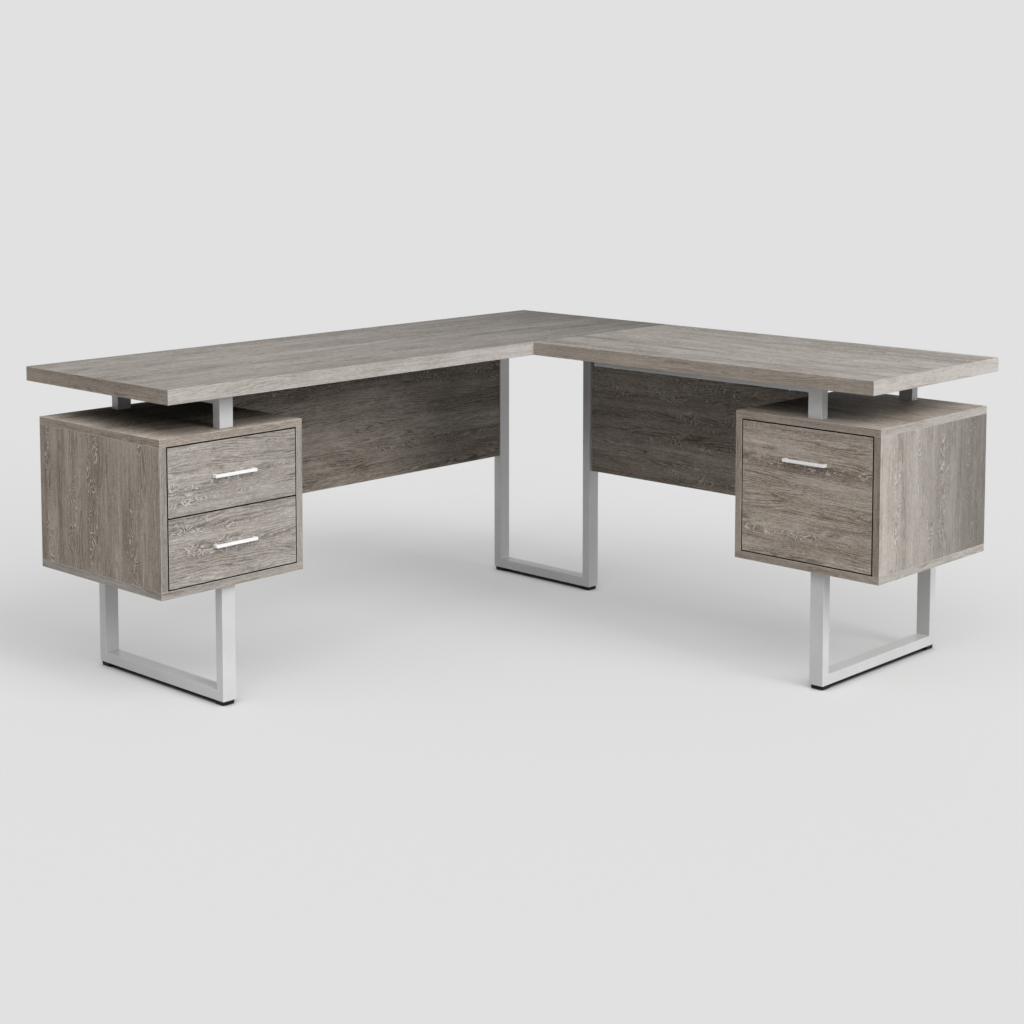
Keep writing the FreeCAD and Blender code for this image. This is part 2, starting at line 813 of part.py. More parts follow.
def post_holes(name, u, stations):
    """Holes for the bolts, up into the plugged lower ends of the posts."""
    radius = s.bolt_radius + s.hole_play
    depth = s.bolt_grip + s.hole_play
    return [
        round_bar(f"{name}_bolt_hole_{index}", radius, depth, (u, v, s.case_height), "+w")
        for index, v in enumerate(stations, start=1)
    ]


def make_return_rails():
    """A post on the right case with a long rail below the return top, at the front and at the rear."""
    low = s.case_height
    high = low + s.spacer_height
    tube = s.tube_depth
    wall = s.tube_wall
    u = POST_U["right"]
    near = u - half(s.tube_breadth)
    far = u + half(s.tube_breadth)
    end = near - s.rail_length
    bar = high - s.rail_height
    plug = low + s.post_plug
    loop = [(near, low), (far, low), (far, high), (end, high), (end, bar), (near, bar)]
    inside = [(near + wall, plug), (far - wall, plug), (far - wall, high - wall)]
    inside += [(end + wall, high - wall), (end + wall, bar + wall), (near + wall, bar + wall)]
    for word, v in post_stations().items():
        node = f"return_{word}_rail"
        body = tube_frame(node, "XZ_Plane", [loop], [inside], -v, tube)
        holes = []
        for index, station in enumerate(rail_stations(), start=1):
            radius = s.screw_radius + s.hole_play
            spot = (station, v, bar)
            holes.append(round_bar(f"{node}_screw_hole_{index}", radius, s.rail_height, spot, "+w"))
        holes += post_holes(node, u, [v])
        finish(node, cut(node, body, holes), "right")


def make_frame_screws():
    """Screws up through the legs, the crossbar and the rails, and bolts up into the posts."""
    bolt_length = s.case_board + s.bolt_grip
    legs = []
    bolts = []
    for case in ("left", "right"):
        stations = leg_screw_stations(LEG_DEPTH[case])
        x_y = [in_desk(case, LEG_U[case], s.leg_setback + v) for v in stations]
        legs += [(x, y, CASE_BASE - s.leg_bar) for x, y in x_y]
        posts = [in_desk(case, POST_U[case], v) for v in post_stations().values()]
        bolts += [(x, y, CASE_TOP - s.case_board) for x, y in posts]
    x_y = [in_desk("middle", ZERO, v) for v in leg_screw_stations(s.middle_leg_depth)]
    legs += [(x, y, UNDER - s.leg_bar) for x, y in x_y]
    x_y = [in_desk("left", POST_U["left"], v) for v in crossbar_stations()]
    crossbar = [(x, y, UNDER - s.tube_depth) for x, y in x_y]
    x_y = [in_desk("right", u, v) for v in post_stations().values() for u in rail_stations()]
    rails = [(x, y, UNDER - s.rail_height) for x, y in x_y]
    made = []
    for word, seats, metal in (
        ("leg", legs, s.leg_bar),
        ("crossbar", crossbar, s.tube_depth),
        ("rail", rails, s.rail_height),
    ):
        for index, seat in enumerate(seats, start=1):
            made.append(screw(f"{word}_screw_{index}", seat, "+w", metal + s.screw_bite))
    finish("frame_screws", group("frame_screws", made))
    head = (s.bolt_head_radius, s.bolt_head_height)
    made = [
        screw(f"spacer_bolt_{index}", seat, "+w", bolt_length, s.bolt_radius, head)
        for index, seat in enumerate(bolts, start=1)
    ]
    finish("spacer_bolts", group("spacer_bolts", made))


def make_modesty_panels():
    """Two hanging panels, each drilled from behind for its brackets, with brackets and screws."""
    leg = s.bracket_leg
    metal = s.bracket_metal
    wide = half(s.bracket_width)
    screw_level = UNDER - s.bracket_screw_inset
    radius = s.screw_radius + s.hole_play
    brackets = []
    screws = []

    holes = []
    back = MAIN_PANEL_X
    for index, y in enumerate(stations_between(MAIN_PANEL_LOW_Y, MAIN_PANEL_HIGH_Y), start=1):
        name = f"main_bracket_{index}"
        blank = block(name + "_blank", (back - leg, y - wide, UNDER - leg), (back, y + wide, UNDER))
        low = (back - leg - OVERCUT, y - wide - OVERCUT, UNDER - leg - OVERCUT)
        waste = block(name + "_waste", low, (back - metal, y + wide + OVERCUT, UNDER - metal))
        up = (back - s.bracket_screw_inset, y, UNDER - metal)
        side = (back - metal, y, screw_level)
        tools = [waste, round_bar(name + "_up_hole", radius, metal, up, "+w")]
        tools.append(round_bar(name + "_side_hole", radius, metal, side, "+u"))
        brackets.append(cut(name, blank, tools))
        screws.append(screw(name + "_up_screw", up, "+w", metal + s.screw_bite))
        screws.append(screw(name + "_side_screw", side, "+u", metal + s.screw_bite))
        depth = s.screw_bite + s.hole_play
        holes.append(round_bar(f"main_panel_hole_{index}", radius, depth, (back, y, screw_level), "+u"))
    low = (back, MAIN_PANEL_LOW_Y, PANEL_LOW)
    high = (back + s.modesty_thickness, MAIN_PANEL_HIGH_Y, UNDER)
    panel = board("main_modesty_panel", low, high)
    finish("main_modesty_panel", cut("main_modesty_panel", panel, holes))

    holes = []
    back = RETURN_PANEL_Y
    for index, x in enumerate(stations_between(SEAM_X, RETURN_PANEL_HIGH_X), start=1):
        name = f"return_bracket_{index}"
        blank = block(name + "_blank", (x - wide, back, UNDER - leg), (x + wide, back + leg, UNDER))
        low = (x - wide - OVERCUT, back + metal, UNDER - leg - OVERCUT)
        waste = block(name + "_waste", low, (x + wide + OVERCUT, back + leg + OVERCUT, UNDER - metal))
        up = (x, back + s.bracket_screw_inset, UNDER - metal)
        side = (x, back + metal, screw_level)
        tools = [waste, round_bar(name + "_up_hole", radius, metal, up, "+w")]
        tools.append(round_bar(name + "_side_hole", radius, metal, side, "-v"))
        brackets.append(cut(name, blank, tools))
        screws.append(screw(name + "_up_screw", up, "+w", metal + s.screw_bite))
        screws.append(screw(name + "_side_screw", side, "-v", metal + s.screw_bite))
        depth = s.screw_bite + s.hole_play
        holes.append(round_bar(f"return_panel_hole_{index}", radius, depth, (x, back, screw_level), "-v"))
    low = (RETURN_PANEL_LOW_X, back - s.modesty_thickness, PANEL_LOW)
    high = (RETURN_PANEL_HIGH_X, back, UNDER)
    panel = board("return_modesty_panel", low, high)
    finish("return_modesty_panel", cut("return_modesty_panel", panel, holes))
    finish("panel_brackets", group("panel_brackets", brackets))
    finish("panel_screws", group("panel_screws", screws))


def check():
    """Stops on any object that failed to build, or whose shape is empty or not valid."""
    doc.recompute()
    failed = [item.Name for item in doc.Objects if {"Invalid", "Error"} & set(item.State)]
    for item in finished:
        shape = item.Shape
        if shape.isNull() or not shape.isValid() or not shape.Solids:
            failed.append(item.Label)
    if failed:
        raise RuntimeError("failed to build: " + ", ".join(failed))


def export():
    os.makedirs("parts", exist_ok=True)
    for item in finished:
        item.Shape.exportStep(f"parts/{item.Label}.step")
    print(len(finished), "sub-parts written")


make_tops()
make_seam_plates()
make_case("left", outer="left")
make_case("right", outer="right")
make_drawers()
make_legs()
make_left_spacer()
make_return_rails()
make_frame_screws()
make_modesty_panels()
check()
export()
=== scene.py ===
"""An L-shaped desk in grey oak on silver tube legs: its finishes, a pale studio and the camera."""
import math

import bmesh
import bpy
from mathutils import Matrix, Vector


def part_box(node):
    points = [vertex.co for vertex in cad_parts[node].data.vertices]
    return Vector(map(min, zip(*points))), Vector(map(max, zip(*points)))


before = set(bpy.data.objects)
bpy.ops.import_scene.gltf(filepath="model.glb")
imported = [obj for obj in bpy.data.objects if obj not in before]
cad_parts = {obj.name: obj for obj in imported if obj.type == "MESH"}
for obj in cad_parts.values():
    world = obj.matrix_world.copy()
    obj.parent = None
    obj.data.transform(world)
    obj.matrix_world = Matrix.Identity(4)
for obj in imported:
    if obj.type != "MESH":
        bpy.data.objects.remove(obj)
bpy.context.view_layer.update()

X, Y, Z = 0, 1, 2

# The photograph's camera
IMAGE_SIDE = 1024
SENSOR = 36.0
FOCAL_PIXELS = 1898.46
HORIZONTAL_CENTRE = 512
VERTICAL_CENTRE = 270
CAMERA_PLACE = (3.09536, -3.30275, 1.36535)
CAMERA_DOWN = 4.9
CAMERA_TURN = 43.41

# The studio: how pale the backdrop shows, half the floor's side in metres, the floor's share of glow,
# its grey as it shows and as it lights the desk, and the sky's light
PALE = 0.752
FLOOR_HALF = 60.0
FLOOR_GLOW = 0.42
FLOOR_SHOWN = 0.72
FLOOR_BOUNCE = 0.45
SKY = 0.27
# How far the painted shadow at a contact reaches on the floor, in metres, and the openness over which it
# fades
PAINTED_CONTACT_SHADOW_REACH = 0.10
PAINTED_CONTACT_SHADOW_FADE = (0.15, 0.85)
# Name, strength, azimuth, elevation and spread of each lamp; azimuth 0 shines along +Y and 90 along -X
LAMPS = (
    ("key", 1.16, 90.0, 40.0, 28.0),
    ("low", 0.98, 90.0, 20.0, 22.0),
    ("front", 1.36, 52.0, 45.0, 45.0),
    ("fill", 0.55, 0.0, 45.0, 45.0),
)
# The part of a normal above which a face counts as square to an axis
SQUARE_ON = 0.7
# Rays that each openness node sends out
OPEN_SAMPLES = 8
# Where most of a noise's values lie, and their middle
NOISE_SPAN = (0.3, 0.7)
NOISE_MIDDLE = 0.5


class Tree:
    """A short way of writing a material's nodes."""

    def __init__(self, tree):
        self.tree = tree
        tree.nodes.clear()

    def node(self, kind, **settings):
        made = self.tree.nodes.new(kind)
        for name, value in settings.items():
            setattr(made, name, value)
        return made

    def put(self, socket, value):
        """Links an output to a socket, or sets a plain value on it."""
        if isinstance(value, bpy.types.NodeSocket):
            self.tree.links.new(value, socket)
        else:
            socket.default_value = value

    def math(self, operation, first, second=0.0, clamp=False):
        made = self.node("ShaderNodeMath", operation=operation, use_clamp=clamp)
        self.put(made.inputs[0], first)
        self.put(made.inputs[1], second)
        return made.outputs[0]

    def times(self, first, second):
        return self.math("MULTIPLY", first, second)

    def total(self, *parts):
        """The sum of some outputs, each times its share."""
        amount = None
        for value, share in parts:
            part = self.times(value, share)
            amount = part if amount is None else self.math("ADD", amount, part)
        return amount

    def vector(self, operation, first, second):
        made = self.node("ShaderNodeVectorMath", operation=operation)
        self.put(made.inputs[0], first)
        self.put(made.inputs[1], second)
        return made.outputs[0]

    def choose(self, share, first, second):
        made = self.node("ShaderNodeMix", data_type="FLOAT")
        self.put(made.inputs[0], share)
        self.put(made.inputs[2], first)
        self.put(made.inputs[3], second)
        return made.outputs[0]

    def tint(self, share, first, second):
        made = self.node("ShaderNodeMix", data_type="RGBA")
        self.put(made.inputs[0], share)
        self.put(made.inputs[6], first)
        self.put(made.inputs[7], second)
        return made.outputs[2]

    def apart(self, vector):
        made = self.node("ShaderNodeSeparateXYZ")
        self.put(made.inputs[0], vector)
        return list(made.outputs)

    def together(self, parts):
        made = self.node("ShaderNodeCombineXYZ")
        for socket, part in zip(made.inputs, parts):
            self.put(socket, part)
        return made.outputs[0]

    def square_on(self, part):
        """One where a normal points mostly along an axis, either way, from its part along that axis."""
        return self.math("GREATER_THAN", self.math("ABSOLUTE", part), SQUARE_ON)

    def noise(self, vector, stretch, detail=2.0, roughness=0.5, distortion=0.0):
        """Noise whose lumps are one over stretch long, in metres, along each axis."""
        made = self.node("ShaderNodeTexNoise", noise_dimensions="3D")
        self.put(made.inputs["Vector"], self.vector("MULTIPLY", vector, stretch))
        made.inputs["Scale"].default_value = 1.0
        made.inputs["Detail"].default_value = detail
        made.inputs["Roughness"].default_value = roughness
        made.inputs["Distortion"].default_value = distortion
        return made.outputs["Fac"]

    def painted_occlusion_shade(self, reach, fade, low):
        """Painted shade from how open a place is within a reach: low in the deepest shelter, one in the open.
        """
        made = self.node("ShaderNodeAmbientOcclusion", samples=OPEN_SAMPLES)
        made.inputs["Distance"].default_value = reach
        return self.ease(made.outputs["AO"], *fade, low, 1.0)

    def mapped(self, value, numbers, **settings):
        made = self.node("ShaderNodeMapRange", **settings)
        self.put(made.inputs["Value"], value)
        for name, number in zip(("From Min", "From Max", "To Min", "To Max"), numbers):
            made.inputs[name].default_value = number
        return made.outputs["Result"]

    def ease(self, value, start, end, low=0.0, high=1.0):
        """A smooth step from low at start to high at end."""
        return self.mapped(value, (start, end, low, high), interpolation_type="SMOOTHSTEP")

    def span(self, value, start, end, low, high):
        """A straight ramp from low at start to high at end."""
        return self.mapped(value, (start, end, low, high))

    def ramp(self, value, stops):
        made = self.node("ShaderNodeValToRGB")
        self.put(made.inputs[0], value)
        elements = made.color_ramp.elements
        while len(elements) < len(stops):
            elements.new(0.5)
        for element, (place, colour) in zip(elements, stops):
            element.position = place
            element.color = (*colour, 1.0)
        return made.outputs[0]

    def bump(self, height, distance, strength):
        made = self.node("ShaderNodeBump")
        made.inputs["Strength"].default_value = strength
        made.inputs["Distance"].default_value = distance
        self.put(made.inputs["Height"], height)
        return made.outputs[0]

    def surface(self, colour, roughness, normal, **sockets):
        shader = self.node("ShaderNodeBsdfPrincipled")
        self.put(shader.inputs["Base Color"], colour)
        self.put(shader.inputs["Roughness"], roughness)
        self.put(shader.inputs["Normal"], normal)
        for name, value in sockets.items():
            shader.inputs[name.replace("_", " ")].default_value = value
        out = self.node("ShaderNodeOutputMaterial")
        self.put(out.inputs["Surface"], shader.outputs[0])


def material(name):
    """A new material and its empty tree."""
    made = bpy.data.materials.new(name)
    made.use_nodes = True
    return made, Tree(made.node_tree)


# Limed grey oak, and the paler wood of the drawer boxes
OAK_STOPS = (
    (0.10, (0.118, 0.098, 0.082)),
    (0.38, (0.243, 0.218, 0.194)),
    (0.62, (0.360, 0.333, 0.304)),
    (0.92, (0.508, 0.482, 0.452)),
)
OAK_LINE = (0.590, 0.563, 0.530, 1.0)
OAK_CRACK = (0.088, 0.074, 0.062, 1.0)
# Near-black painted shade for the gaps round the fronts and the undersides of boards
OAK_PAINTED_SHADE = (0.016, 0.013, 0.011, 1.0)
BOX_STOPS = (
    (0.18, (0.36, 0.325, 0.285)),
    (0.42, (0.50, 0.462, 0.415)),
    (0.58, (0.56, 0.525, 0.478)),
    (0.85, (0.64, 0.610, 0.565)),
)
# Steps through the noise: from each board to the next, so that no two look alike, and on to a board's heart
SEED_STEP = (3.17, 1.43, 2.29)
HEART_STEP = (7.7, 0.0, 0.0)
# Noises in the wood: lumps to the metre along and across the grain, then detail, roughness and distortion
DRIFT = ((1.6, 7, 7), 2)
BROAD = ((1.0, 13, 13), 3, 0.55)
PATCH = ((11, 26, 26), 2)
STREAK = ((3.0, 95, 95), 3, 0.6)
FIBRE = ((55, 360, 360), 3, 0.7)
FLECK = ((200, 430, 430), 2, 0.6)
HEART = ((1.7, 17, 17), 2)
RING_WAVER = ((9, 60, 60), 2)
RING_FADE = ((6.0, 30, 30), 2)
CURL = ((26, 54, 54), 1.5, 0.5, 0.4)
CURL_BREAK = ((16, 34, 34), 2)
RUB = ((60, 60, 60), 2)
# How far the grain drifts sideways, in metres
DRIFT_REACH = 0.03
# Growth rings: rings to the metre, how much the heart and a waver bend them, their width and how they fade
RINGS_TO_METRE = 175.0
RING_HEART_BEND = 16.0
RING_WAVER_BEND = 3.0
RING_WIDTH = 0.42
RING_FADE_SPAN = (0.36, 0.62, 0.25, 1.0)
# Curled figure near the heart: how tightly it curls, where it and its halo show, its pale and dark lines
CURL_BEND = 6.5
CURLS_TO_METRE = 40.0
CURL_CORE = (0.535, 0.605)
CURL_HALO = (0.46, 0.64)
CURL_BREAK_SPAN = (0.40, 0.56)
PALE_LINE_WIDTH = 0.18
PALE_LINE_SHARE = 0.95
DARK_LINE_WIDTH = 0.26
DARK_LINE_SHIFT = 0.25
DARK_LINE_SHARE = 0.58
# How much each noise adds to a board's tone, the middle of their sum, and the tone of a face at that middle
BROAD_SHARE = 0.62
PATCH_SHARE = 0.30
STREAK_SHARE = 0.55
FIBRE_SHARE = 0.80
FLECK_SHARE = 0.62
RING_SHARE = -0.27
HALO_SHARE = -0.07
TONE_MIDDLE = 1.37
FACE_TONE = 0.5
# How strong the grain is on edge bands, how pale most of them are, and those whose tone is painted light and
# shade
BAND_CONTRAST = 0.7
BAND_TONE = 0.49
SIDE_BAND_PAINTED_LIGHT = {
    "main_top": 0.65,
    "return_top": 0.88,
    "right_case_top": 0.66,
    "right_case_bottom": 0.60,
    "left_case_outer_side": 0.46,
}
FRONT_BAND_PAINTED_LIGHT = {"main_top": 0.46, "return_top": 0.56, "right_case_outer_side": 0.48}
# A painted warm tint of shade on boards that lie in shade, and on the bands of some boards that face the
# front or the rear
PAINTED_SHADE_WARMTH = (1.03, 0.975, 0.915)
PAINTED_BAND_SHADE_WARMTH = (0.94, 0.885, 0.82)
PAINTED_SHADE_WARM_BOARDS = (
    "left_case_outer_side",
    "left_case_top",
    "right_case_top",
    "right_case_bottom",
    "right_case_inner_side",
    "file_front",
    "main_modesty_panel",
    "return_modesty_panel",
)
# Painted shade on boards that lie below a low cover, which are kept matt: how far the painted shade reaches
# in metres, the openness over which it fades, the tone in its depth, and the boards' gloss
PAINTED_SHADE_BOARDS = ("left_case_top",)
PAINTED_SHADE_REACH = 0.25
PAINTED_SHADE_FADE = (0.12, 0.32)
PAINTED_SHADE_DEPTH = 0.35
PAINTED_SHADE_GLOSS = 0.0
# Wear along edges: from where to where it fades and how far a noise shifts that, in metres, and then
# how pale and how much rougher it is
WEAR_SPAN = (0.0008, 0.0024)
WEAR_WAVER = 0.0016
WEAR_SHARE = 0.35
WEAR_ROUGHNESS = 0.08
# Gloss, roughness from the darkest fibre to the palest, the relief of fibre, flecks and dark lines,
# and the whole relief's depth in metres and strength
OAK_GLOSS = 0.06
OAK_ROUGHNESS = (0.66, 0.52)
FIBRE_RELIEF = 0.6
FLECK_RELIEF = 0.3
LINE_RELIEF = -0.5
OAK_BUMP = (0.0004, 0.35)
# The depths into a case, in metres from its front, between which its inner faces are painted near-black as
# shade in the gaps round the fronts
LIP_START = 0.0008
LIP_END = 0.0165
# A face of even tone, with no painted light or shade: an axis, the tone at its low end and at its high end,
# and the curve between
EVEN_TONE = (X, 1.0, 1.0, 1.0)


def edge_distance(tree, place, low, high):
    """On a board's surface, how far the nearest edge of its box is."""
    far = []
    for part, start, end in zip(place, low, high):
        from_start = tree.math("SUBTRACT", part, start)
        from_end = tree.math("SUBTRACT", end, part)
        far.append(tree.math("MINIMUM", from_start, from_end))
    lesser = tree.math("MINIMUM", far[0], far[1])
    greater = tree.math("MAXIMUM", far[0], far[1])
    return tree.math("MAXIMUM", lesser, tree.math("MINIMUM", greater, far[2]))


def grain_of(tree, place, facing, along, across, seed):
    """Board coordinates with the grain along the first axis, plain and with the grain's drift."""
    third = X + Y + Z - along - across
    on_end = tree.square_on(facing[along])
    length = tree.choose(on_end, place[along], place[across])
    width = tree.choose(on_end, place[across], place[along])
    board = tree.together((length, width, place[third]))
    board = tree.vector("ADD", board, tuple(seed * step for step in SEED_STEP))
    drift = tree.math("SUBTRACT", tree.noise(board, *DRIFT), NOISE_MIDDLE)
    drift = tree.times(drift, DRIFT_REACH)
    return board, tree.vector("ADD", board, tree.together((0.0, drift, drift)))


def contours(tree, phase, width, shift=0.0):
    """Thin lines where a phase passes whole numbers."""
    if shift:
        phase = tree.math("ADD", phase, shift)
    to_whole_number = tree.math("PINGPONG", phase, 0.5)
    return tree.ease(to_whole_number, 0.0, width, 1.0, 0.0)


def rings_of(tree, grain, heart):
    """Growth rings that bend round the heart of a board and fade in places."""
    width, depth = tree.apart(grain)[1:]
    waver = tree.noise(grain, *RING_WAVER)
    phase = tree.total(
        (tree.math("ADD", width, depth), RINGS_TO_METRE),
        (heart, RING_HEART_BEND),
        (waver, RING_WAVER_BEND),
    )
    fade = tree.ease(tree.noise(grain, *RING_FADE), *RING_FADE_SPAN)
    return tree.times(contours(tree, phase, RING_WIDTH), fade)


def figure_of(tree, grain, heart, flat):
    """The pale and the dark curled lines near the heart of a board, on its faces alone."""
    length = tree.apart(grain)[0]
    phase = tree.total((tree.noise(grain, *CURL), CURL_BEND), (length, CURLS_TO_METRE))
    unbroken = tree.ease(tree.noise(grain, *CURL_BREAK), *CURL_BREAK_SPAN)
    shown = tree.times(tree.times(tree.ease(heart, *CURL_CORE), unbroken), flat)
    pale = tree.times(contours(tree, phase, PALE_LINE_WIDTH), shown)
    dark = tree.times(contours(tree, phase, DARK_LINE_WIDTH, DARK_LINE_SHIFT), shown)
    return pale, dark


def painted_shade_share(tree, place, facing, faces, lip):
    """One on the faces painted near-black as shade, within the lip of a case where one is given."""
    share = None
    for axis, sign in faces:
        mask = tree.math("GREATER_THAN", tree.times(facing[axis], sign), SQUARE_ON)
        share = mask if share is None else tree.math("MAXIMUM", share, mask)
    if share is not None and lip is not None:
        axis, front, sign = lip
        depth = tree.times(tree.math("SUBTRACT", place[axis], front), sign)
        share = tree.times(share, tree.math("GREATER_THAN", depth, LIP_START))
        share = tree.times(share, tree.math("LESS_THAN", depth, LIP_END))
    return share


def wood(node, along, across, seed, figure, stops, faces=(), lip=None, contrast=1.0, painted_light_lean=EVEN_TONE):
    """A board with grain along one axis, calmer bands on its edges, and painted light and shade on some
    faces.
    """
    made, tree = material(f"wood_{node}")
    low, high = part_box(node)
    thin = min((X, Y, Z), key=lambda axis: high[axis] - low[axis])
    coordinates = tree.node("ShaderNodeTexCoord")
    place = tree.apart(coordinates.outputs["Object"])
    facing = tree.apart(coordinates.outputs["Normal"])
    board, grain = grain_of(tree, place, facing, along, across, seed)
    flat = tree.square_on(facing[thin])
    to_side = tree.square_on(facing[X])
    to_front = tree.square_on(facing[Y])

    # The board's own tone
    fibre = tree.noise(grain, *FIBRE)
    fleck = tree.noise(board, *FLECK)
    heart = tree.noise(tree.vector("ADD", grain, HEART_STEP), *HEART)
    pale_line, dark_line = figure_of(tree, grain, heart, flat)
    tone = tree.total(
        (tree.noise(grain, *BROAD), BROAD_SHARE),
        (tree.noise(grain, *PATCH), PATCH_SHARE),
        (tree.noise(grain, *STREAK), STREAK_SHARE),
        (fibre, FIBRE_SHARE),
        (fleck, FLECK_SHARE),
        (rings_of(tree, grain, heart), RING_SHARE),
        (tree.ease(heart, *CURL_HALO), HALO_SHARE * figure),
    )
    tone = tree.math("SUBTRACT", tone, TONE_MIDDLE)
    # Edge bands: their own tone, or painted light and shade on the bands of the boards listed with one
    front_tone = FRONT_BAND_PAINTED_LIGHT.get(node, BAND_TONE)
    side_tone = SIDE_BAND_PAINTED_LIGHT.get(node, BAND_TONE)
    strength = tree.choose(flat, BAND_CONTRAST, contrast)
    middle = tree.choose(flat, tree.choose(to_side, front_tone, side_tone), FACE_TONE)
    colour = tree.ramp(tree.math("ADD", tree.times(tone, strength), middle), stops)
    colour = tree.tint(tree.times(dark_line, DARK_LINE_SHARE * figure), colour, OAK_CRACK)
    pale_share = tree.math("MULTIPLY", pale_line, PALE_LINE_SHARE * figure, clamp=True)
    colour = tree.tint(pale_share, colour, OAK_LINE)

    # Painted light and shade along the face, a painted warm tint of shade, and painted shade below a low
    # cover
    axis, first, last, curve = painted_light_lean
    share = tree.math("POWER", tree.span(place[axis], low[axis], high[axis], 0.0, 1.0), curve)
    shade = tree.choose(flat, 1.0, tree.choose(share, first, last))
    colour = tree.vector("MULTIPLY", colour, shade)
    # Painted warm tint of shade on boards and bands that lie in shade
    if node in PAINTED_SHADE_WARM_BOARDS:
        shade_warmed = tree.vector("MULTIPLY", colour, PAINTED_SHADE_WARMTH)
        colour = tree.tint(to_side, shade_warmed, colour) if node in SIDE_BAND_PAINTED_LIGHT else shade_warmed
    if node in FRONT_BAND_PAINTED_LIGHT:
        colour = tree.tint(to_front, colour, tree.vector("MULTIPLY", colour, PAINTED_BAND_SHADE_WARMTH))
    # Painted shade: the colour darkens where little is open within a reach, below the desktop
    if node in PAINTED_SHADE_BOARDS:
        painted_occlusion_shade = tree.painted_occlusion_shade(PAINTED_SHADE_REACH, PAINTED_SHADE_FADE, PAINTED_SHADE_DEPTH)
        colour = tree.vector("MULTIPLY", colour, painted_occlusion_shade)

    # Wear along the edges, and near-black painted shade on faces in gaps and below boards
    edge = edge_distance(tree, place, low, high)
    edge = tree.math("ADD", edge, tree.times(tree.noise(board, *RUB), WEAR_WAVER))
    worn = tree.ease(edge, *WEAR_SPAN, 1.0, 0.0)
    colour = tree.tint(tree.times(worn, WEAR_SHARE), colour, OAK_LINE)
    painted_gap_shade = painted_shade_share(tree, place, facing, faces, lip)
    if painted_gap_shade is not None:
        colour = tree.tint(painted_gap_shade, colour, OAK_PAINTED_SHADE)

    roughness = tree.span(fibre, *NOISE_SPAN, *OAK_ROUGHNESS)
    roughness = tree.math("ADD", roughness, tree.times(worn, WEAR_ROUGHNESS))
    height = tree.total((fibre, FIBRE_RELIEF), (fleck, FLECK_RELIEF), (dark_line, LINE_RELIEF * figure))
    # Boards with painted shade are kept matt
    gloss = PAINTED_SHADE_GLOSS if node in PAINTED_SHADE_BOARDS else OAK_GLOSS
    tree.surface(colour, roughness, tree.bump(height, *OAK_BUMP), Specular_IOR_Level=gloss)
    return made


# Satin metallic paint: its noises, the shares of two of them in its colour, and its colours and surface
PAINT_CLOUD = ((9, 9, 9), 3)
PAINT_SPECK = ((2600, 2600, 2600), 1)
PAINT_PEEL = ((420, 420, 420), 2)
CLOUD_SHARE = 0.5
SPECK_SHARE = 0.5
PAINT_STOPS = ((0.3, (0.54, 0.54, 0.545)), (0.7, (0.67, 0.67, 0.665)))
PAINT_ROUGHNESS = (0.34, 0.46)
PAINT_BUMP = (0.0001, 0.25)
PAINT_METALLIC = 0.2
# Painted highlights on its edges: their radius in metres, the rays that find them, the agreement of the
# rounded and the plain normal over which they show, their colour and its share
PAINTED_HIGHLIGHT_RADIUS = 0.002
PAINTED_HIGHLIGHT_SAMPLES = 4
PAINTED_HIGHLIGHT_TURN = (0.98, 0.80)
PAINTED_HIGHLIGHT_COLOUR = (0.86, 0.86, 0.86, 1.0)
PAINTED_HIGHLIGHT_SHARE = 0.7


def silver_paint():
    """Satin metallic paint on steel tube, with a faint orange peel and painted highlights on its edges."""
    made, tree = material("silver_paint")
    place = tree.node("ShaderNodeTexCoord").outputs["Object"]
    cloud = tree.noise(place, *PAINT_CLOUD)
    speck = tree.noise(place, *PAINT_SPECK)
    shade = tree.total((cloud, CLOUD_SHARE), (speck, SPECK_SHARE))
    colour = tree.ramp(shade, PAINT_STOPS)
    # Painted highlights: a paler colour where the rounded normal turns from the plain one
    rounded = tree.node("ShaderNodeBevel", samples=PAINTED_HIGHLIGHT_SAMPLES)
    rounded.inputs["Radius"].default_value = PAINTED_HIGHLIGHT_RADIUS
    plain = tree.node("ShaderNodeNewGeometry").outputs["Normal"]
    turned = tree.node("ShaderNodeVectorMath", operation="DOT_PRODUCT")
    tree.put(turned.inputs[0], rounded.outputs[0])
    tree.put(turned.inputs[1], plain)
    painted_highlight = tree.ease(turned.outputs["Value"], *PAINTED_HIGHLIGHT_TURN)
    colour = tree.tint(tree.times(painted_highlight, PAINTED_HIGHLIGHT_SHARE), colour, PAINTED_HIGHLIGHT_COLOUR)
    roughness = tree.span(cloud, *NOISE_SPAN, *PAINT_ROUGHNESS)
    normal = tree.bump(tree.noise(place, *PAINT_PEEL), *PAINT_BUMP)
    tree.surface(colour, roughness, normal, Metallic=PAINT_METALLIC)
    return made


# Noises of the other finishes
BRUSH = ((160, 160, 1800), 2)
BRUSH_CLOUD = ((40, 40, 40), 3)
SPANGLE = ((380, 380, 380), 2)
SPANGLE_CLOUD = ((55, 55, 55), 4)
SCUFF = ((120, 120, 60), 4)
SPARK = ((1500, 1500, 1500), 2)
BEECH_FLECK = ((260, 260, 260), 3)
